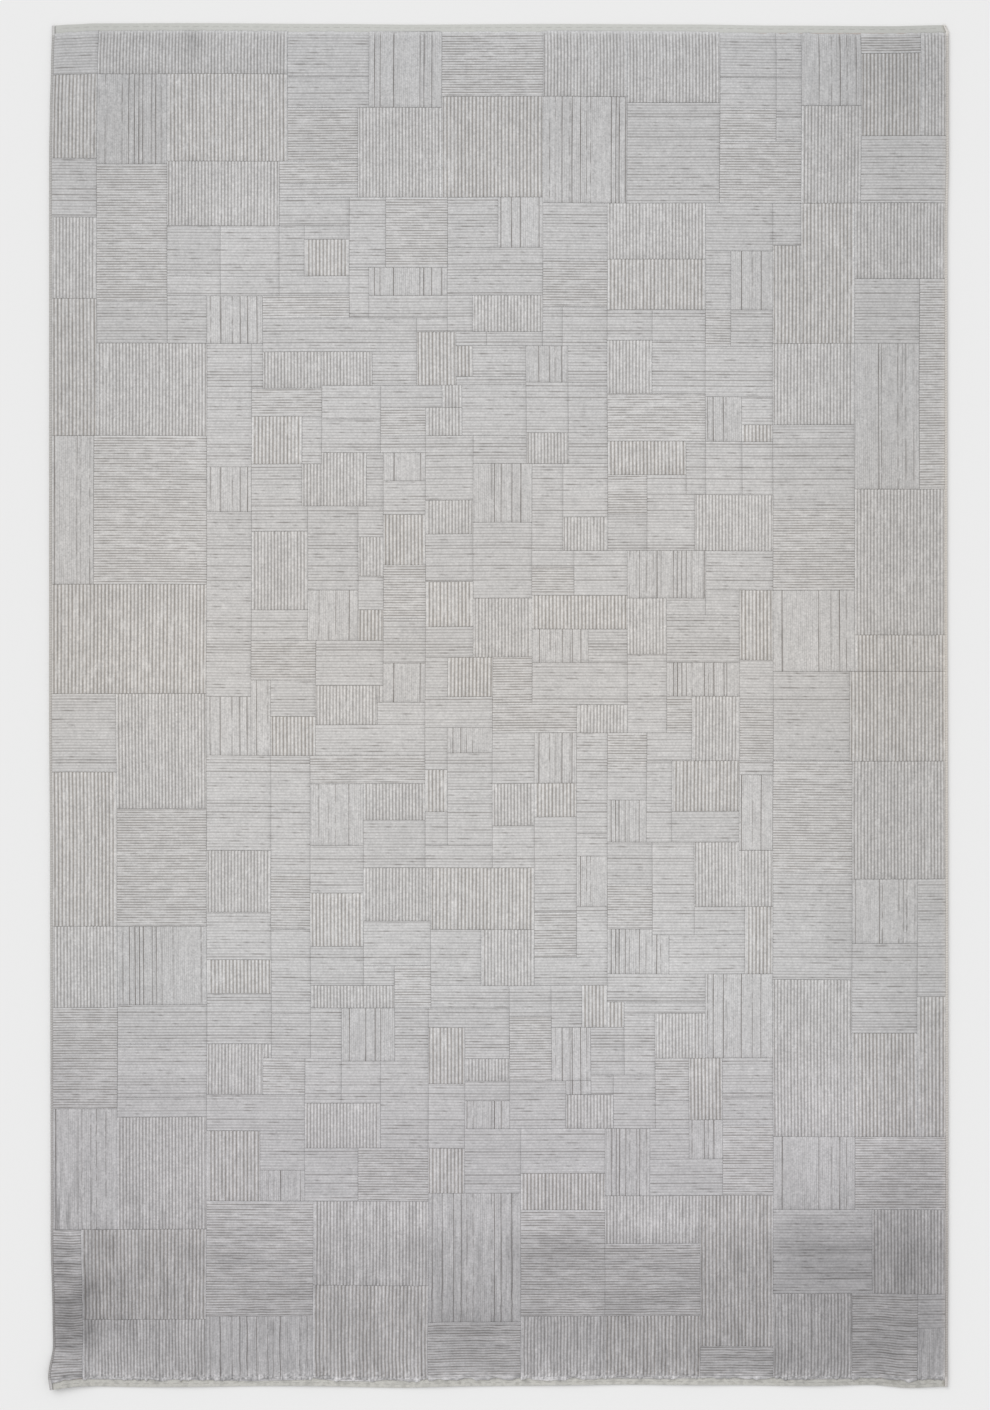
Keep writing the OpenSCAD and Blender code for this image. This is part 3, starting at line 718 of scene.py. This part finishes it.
def raise_pile(name, node, material, seed, pattern, pitch, depth, step, spread, streaks,
               ribs_along=True):
    """Every raised block of one kind of pile, ribbed the way its pattern gives.

    pitch and depth are those of the ribs, step is how close the stations along them are, spread is
    how far a block widens over the outline round it, and streaks is how much its threads differ.
    Towards the foot the pile is matted: the blocks' edges round over less and the painted shade at the
    foot of their sides is lighter, so the blocks stand out less from each other.
    """
    skin = Skin()
    for low, high in block_boxes(node):
        low, high, at_foot, at_head = block_reach(low, high, spread)
        stations = stations_along(low, high, step, ribs_along, at_foot, at_head)
        cross = 0 if ribs_along else 1
        places, share = pattern(pitch, low[cross], high[cross], stations, seed)
        places = np.concatenate([[low[cross], low[cross] + SHOULDER], places,
                                 [high[cross] - SHOULDER, high[cross]]])
        edge = np.full((len(stations), 1), EDGE_GROOVE)
        share = np.hstack([edge + 0.1, edge, share, edge, edge + 0.1])
        share[0], share[-1] = np.maximum(share[0], 0.2), np.maximum(share[-1], 0.2)
        tuft = scatter(np.round(stations[:, None] / MM), np.round(places[None] / MM * 4), seed)
        heights = high[2] - depth * share - TUFT_HEIGHT * tuft
        _, middle = on_draft(0, (low[1] + high[1]) / 2)
        matted_and_less_shaded = steady((middle - 180) / 40)
        rounded = high[2] - ROUND_OVER * (1 - 0.5 * matted_and_less_shaded)
        for border in (np.s_[0, :], np.s_[-1, :], np.s_[:, 0], np.s_[:, -1]):
            heights[border] = np.minimum(heights[border], rounded)

        run, cross = np.meshgrid(stations, places, indexing="ij")
        x, y = (cross, run) if ribs_along else (run, cross)
        to_foot = steady(1 - (y - low[1]) / TRAIL_LENGTH) * at_foot
        to_head = steady(1 - (high[1] - y) / TRAIL_LENGTH) * at_head
        heights = heights - TRAIL_DROP * np.maximum(to_foot, to_head)
        share = share * (1 - 0.7 * np.maximum(to_foot, to_head))

        clump = streak(0, x, CLUMP, seed + 4) + 0.5 * scatter(np.round(x / MM), 1, seed)
        last_row, first_row = (y > high[1] - 0.1 * MM) * at_head, (y < low[1] + 0.1 * MM) * at_foot
        fray = FRAY * (clump - 0.55) * (HEAD_FRAY * last_row - first_row)
        fringe = steady(1 - (y - low[1]) / FRINGE) * at_foot
        fleck = scatter(np.round(x / (3 * MM)), np.round(y / (2.5 * MM)), seed + 29)
        tone = 1 + 0.05 * (scatter(round(low[0] / MM), round(low[1] / MM), seed) - 0.5)
        tone = tone + thread_tone(x, y, cross, run, pitch, streaks, seed)
        tone = tone + fringe * (0.7 * fleck + 0.3 * clump - 0.5)

        base_step = BENDING_STEP if low[1] < pile_foot + BENDING_FOOT else None
        # Painted shade at the foot of the block's sides, partly the low pile's colour; lighter at the ends
        # and towards the foot
        root = 0.1 if at_foot or at_head else 0.4 - 0.3 * matted_and_less_shaded
        closed_relief(skin, places, stations, heights, share, low[2] - ROOTED, ribs_along, tone,
                      base_step, fray, root)
    return skin.finish(name, material, node)


fine_ribs = raise_pile(
    "fine_ribbed_pile", "fine_rib_pile", fine_rib_yarn, 1, ribbed,
    pitch=5.87 * MM, depth=1.0 * MM, step=12 * MM, spread=0.85 * MM, streaks=0.15)
coarse_ribs = raise_pile(
    "coarse_ribbed_pile", "coarse_rib_pile", coarse_rib_yarn, 2, ribbed,
    pitch=6.48 * MM, depth=1.3 * MM, step=12 * MM, spread=0.85 * MM, streaks=0.15)
cross_ribs = raise_pile(
    "crosswise_ribbed_pile", "crosswise_rib_pile", cross_rib_yarn, 3, loosely_ribbed,
    pitch=4.57 * MM, depth=1.0 * MM, step=7 * MM, spread=0.85 * MM, streaks=0.12, ribs_along=False)
cross_lines = raise_pile(
    "crosswise_lined_pile", "crosswise_line_pile", cross_line_yarn, 4, lined,
    pitch=5.17 * MM, depth=0.9 * MM, step=7 * MM, spread=0.9 * MM, streaks=0.08, ribs_along=False)
long_lines = raise_pile(
    "lengthwise_lined_pile", "lengthwise_line_pile", long_line_yarn, 5, long_lined,
    pitch=3.5 * MM, depth=1.0 * MM, step=6 * MM, spread=0.9 * MM, streaks=0.14)


# ---------------------------------------------------------------- low pile, cloth, back and ends

def graded(low, high, cell):
    """Places between two edges, a cell apart in the middle and closer where a layer bends."""
    border = 10 * CM
    near = np.linspace(0, border, 17)[:-1]
    middle = np.linspace(low + border, high - border, round((high - low - 2 * border) / cell) + 1)
    return np.concatenate([low + near, middle, (high - near)[::-1]])


def layer(name, node, material, seed, cell, unevenness, groove=0.0, underside=False):
    """One of the rug's full layers, with an uneven face on top or underneath."""
    low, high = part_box(node)
    places, stations = graded(low.x, high.x, cell), graded(low.y, high.y, cell)
    bumps = scatter(*np.meshgrid(np.arange(len(stations)), np.arange(len(places)), indexing="ij"), seed)
    bumps[0], bumps[-1], bumps[:, 0], bumps[:, -1] = 0, 0, 0, 0
    face, base = (low.z, high.z) if underside else (high.z, low.z)
    heights = face + (unevenness if underside else -unevenness) * bumps
    skin = Skin()
    closed_relief(skin, places, stations, heights, np.full(bumps.shape, groove), base, True, base_step=MM)
    return skin.finish(name, material, node, marked=not underside)


low_pile = layer("low_groove_pile", "groove_pile", groove_yarn, 6,
                 cell=15 * MM, unevenness=0.3 * MM, groove=0.3)
cloth = layer("woven_ground_cloth", "ground_cloth", ground_weave, 7,
              cell=20 * MM, unevenness=0.15 * MM)
back = layer("latex_coat", "back_coating", latex_back, 8,
             cell=20 * MM, unevenness=0.15 * MM, underside=True)

WEFT_PITCH = 1.5 * MM
BAND_RELIEF = 0.3 * MM   # how far the weft rows of the bands stand proud
FOLD_RELIEF = 0.25 * MM  # the same on the folds under them


def woven_strip(name, node, material, seed, underside=False):
    """A flat-woven strip across one end, with its weft rows standing a little proud."""
    low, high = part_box(node)
    stations = np.linspace(low.x, high.x, round((high.x - low.x) / (6 * MM)) + 1)
    third = WEFT_PITCH / 3
    inner = np.arange(low.y + third, high.y - third / 2, third)
    places = np.concatenate([[low.y], inner, [high.y]])
    row = np.round((places - low.y) / third)
    share = np.where(row % 3 == 0, 1.0, 0.15) * np.ones((len(stations), 1))
    share *= 0.6 + 0.4 * streak(row[None], stations[:, None], 0.02, seed)
    share[:, [0, -1]] = 1
    face, base = (low.z, high.z) if underside else (high.z, low.z)
    heights = face + (FOLD_RELIEF if underside else -BAND_RELIEF) * share
    skin = Skin()
    closed_relief(skin, places, stations, heights, share * 0.5, base, False)
    return skin.finish(name, material, node, marked=not underside)


head_band = woven_strip("head_woven_band", "head_end_band", head_band_weave, 9)
foot_band = woven_strip("foot_woven_band", "foot_end_band", foot_band_weave, 10)
head_fold = woven_strip("head_turned_hem", "head_hem_fold", hem_weave, 11, underside=True)
foot_fold = woven_strip("foot_turned_hem", "foot_hem_fold", hem_weave, 12, underside=True)


def tube(skin, rings, groove, tone=1.0):
    """Joins rings of points into a closed tube. rings is stations by points round by 3."""
    stations, around = rings.shape[:2]
    corner = np.arange(stations * around).reshape(stations, around)
    beside = np.roll(corner, -1, axis=1)
    quads = np.stack([corner[:-1], beside[:-1], beside[1:], corner[1:]], -1).reshape(-1, 4).tolist()
    smooth = [True] * len(quads) + [False, False]
    quads += [corner[0, ::-1].tolist(), corner[-1].tolist()]
    skin.add(rings.reshape(-1, 3), quads, smooth, groove, tone)


def hem_stitches(name, node, seed):
    """The row of short stitches on one end band, each a twisted thread that dives in at both ends."""
    skin = Skin()
    turns = np.linspace(0, 2 * math.pi, 8, endpoint=False)
    for number, (low, high) in enumerate(block_boxes(node)):
        middle, length = (low + high) / 2, high[0] - low[0]
        half_width, height = (high[1] - low[1]) / 2, high[2] - low[2]
        share = np.linspace(-1, 1, 9)[:, None]
        full = np.sqrt(np.clip(1 - share ** 4, 0.02, 1))
        twist = 1 + 0.12 * np.cos(2 * turns + share * 5 + number)
        slant = 0.25 * MM * (scatter(number, 0, seed) - 0.5)
        x = middle[0] + share * length / 2 + 0 * turns
        y = middle[1] + slant * share + half_width * 0.9 * full * twist * np.cos(turns)
        z = low[2] - 0.1 * MM + (height * full - 0.05 * MM) * twist * np.maximum(np.sin(turns), -0.4)
        # The underside of each stitch takes the shadow colour, painted shade
        tube(skin, np.stack([x, y, z], -1), np.tile(0.3 - 0.3 * np.sin(turns), 9))
    return skin.finish(name, stitch_yarn, node)


head_stitches = hem_stitches("head_stitch_row", "head_hem_stitches", 13)
foot_stitches = hem_stitches("foot_stitch_row", "foot_hem_stitches", 14)

WRAP_PITCH = 3 * MM
CORD_LAY = 14 * MM
# Near the ends the overcasting's inner side is also lightened with painted light
END_WRAPS = 22 * MM  # how far in from each end the overcasting is flattened


def edge_cord(name, node):
    """A three-ply cord laid straight along one long edge."""
    low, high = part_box(node)
    middle, radius = (low + high) / 2, (high.x - low.x) / 2
    turns = np.linspace(0, 2 * math.pi, 18, endpoint=False)
    y = np.linspace(low.y, high.y, round((high.y - low.y) / (3.5 * MM)))[:, None]
    plies = np.abs(np.cos(1.5 * (turns - 2 * math.pi * y / CORD_LAY)))
    reach = radius * (0.84 + 0.13 * plies)
    x, z = middle.x + reach * np.cos(turns), middle.z + reach * np.sin(turns)
    rings = np.stack([x, y + 0 * turns, z], -1)
    skin = Skin()
    # The dips between the plies take the shadow colour, painted shade
    tube(skin, rings[::-1], (1 - plies)[::-1])
    return skin.finish(name, jute_cord, node)


def overcast_edge(name, node, cord_node, side):
    """Yarn wound round one long edge and its cord; side is -1 on the left and 1 on the right."""
    low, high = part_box(node)
    cord_low, cord_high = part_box(cord_node)
    core = (cord_low + cord_high) / 2
    radius, hole = (high.z - low.z) / 2, (cord_high.x - cord_low.x) / 2 + 0.05 * MM
    tuck = (high.x - low.x) - radius
    turns = np.radians([-90, -54, -18, 18, 54, 90])
    outer = [(radius * math.cos(t), radius * math.sin(t)) for t in turns]
    inner_top = [(-0.5 * tuck, radius), (-0.93 * tuck, 0.88 * radius), (-tuck, 0.6 * radius)]
    inner_bottom = [(x, -z) for x, z in reversed(inner_top)]
    ring = np.array(outer + inner_top + inner_bottom)
    around = len(ring)
    wraps = round((high.y - low.y) / WRAP_PITCH)
    y = np.linspace(low.y, high.y, 4 * wraps + 1)[:, None]
    order = np.arange(4 * wraps + 1)[:, None]
    dip = np.array([1.0, 0.35, 0.0, 0.35])[order % 4]
    thick = 1 - 0.1 * dip - 0.05 * scatter(np.floor(order / 4), 1, 15)
    slant = 0.8 * MM * np.linspace(-1, 1, around)[None] * (1 if side > 0 else -1)
    to_end = np.minimum(y - low.y, high.y - y)
    slant = slant * steady(to_end / (4 * MM))
    flattened = steady((END_WRAPS - to_end) / (8 * MM))
    x = core.x + side * ring[:, 0] * thick
    z = core.z + ring[:, 1] * thick * np.where(ring[:, 1] > 0, 1 - 0.35 * flattened, 1)
    rings = np.stack([x, y + slant, z], -1)
    # The dip between wraps takes the shadow colour, painted shade that fades where the wraps are flattened
    groove = dip * (1 - 0.7 * flattened) * np.ones((1, around))
    # Painted light: near each end the inner side of the wraps is lightened against the shade of their wall
    # above the band
    tone = 1 + flattened * np.where(ring[:, 0] < 0, 0.3, 0.16) * (1 if side < 0 else 0.3)
    round_hole = np.arctan2(ring[:, 1], ring[:, 0])
    collar = np.column_stack([core.x + side * hole * np.cos(round_hole), 0 * round_hole,
                              core.z + hole * np.sin(round_hole)])
    inside = 8 * MM
    foot_in, foot_out = collar + [0, low.y + inside, 0], collar + [0, low.y, 0]
    head_in, head_out = collar + [0, high.y - inside, 0], collar + [0, high.y, 0]
    rings = np.concatenate([[foot_in, foot_out], rings, [head_out, head_in]])
    # The collars running into the holes take the full shadow colour, painted shade
    groove = np.concatenate([np.ones((2, around)), groove, np.ones((2, around))])
    tone = np.concatenate([np.ones((2, around)), tone, np.ones((2, around))])
    if side > 0:
        rings, groove, tone = rings[::-1], groove[::-1], tone[::-1]
    skin = Skin()
    tube(skin, rings, groove, tone)
    return skin.finish(name, overcast_yarn, node)


left_cord = edge_cord("left_laid_cord", "left_edge_cord")
right_cord = edge_cord("right_laid_cord", "right_edge_cord")
left_wraps = overcast_edge("left_overcast_yarn", "left_overcasting", "left_edge_cord", -1)
right_wraps = overcast_edge("right_overcast_yarn", "right_overcasting", "right_edge_cord", 1)


# ---------------------------------------------------------------- floor and light

FLOOR_HALF_SIZE = 40.0
FLOOR_PAINT = (0.857, 0.857, 0.857, 1)


def lay_floor():
    """A plain pale studio floor, just below the rug."""
    size = FLOOR_HALF_SIZE
    mesh = bpy.data.meshes.new("studio floor")
    corners = [(-size, -size, 0), (size, -size, 0), (size, size, 0), (-size, size, 0)]
    mesh.from_pydata(corners, [], [(0, 1, 2, 3)])
    floor = bpy.data.objects.new("studio floor", mesh)
    floor.location.z = -0.1 * MM
    bpy.context.collection.objects.link(floor)
    paint = bpy.data.materials.new("pale floor paint")
    paint.use_nodes = True
    shader = paint.node_tree.nodes["Principled BSDF"]
    shader.inputs["Base Color"].default_value = FLOOR_PAINT
    shader.inputs["Roughness"].default_value = 0.9
    shader.inputs["Specular IOR Level"].default_value = 0.1
    mesh.materials.append(paint)


def light_studio():
    """An even pale room with one large soft lamp from the upper left."""
    world = bpy.data.worlds.new("pale room")
    world.use_nodes = True
    sky = world.node_tree.nodes["Background"]
    sky.inputs["Color"].default_value = (1, 1, 1, 1)
    sky.inputs["Strength"].default_value = 0.72
    bpy.context.scene.world = world
    lamp = bpy.data.lights.new("soft key", "SUN")
    lamp.energy = 1.1
    lamp.angle = math.radians(50)
    key = bpy.data.objects.new("soft key", lamp)
    key.rotation_euler = (math.radians(-30), math.radians(-32), 0)
    bpy.context.collection.objects.link(key)
    bpy.context.scene.view_settings.view_transform = "Standard"


lay_floor()
light_studio()
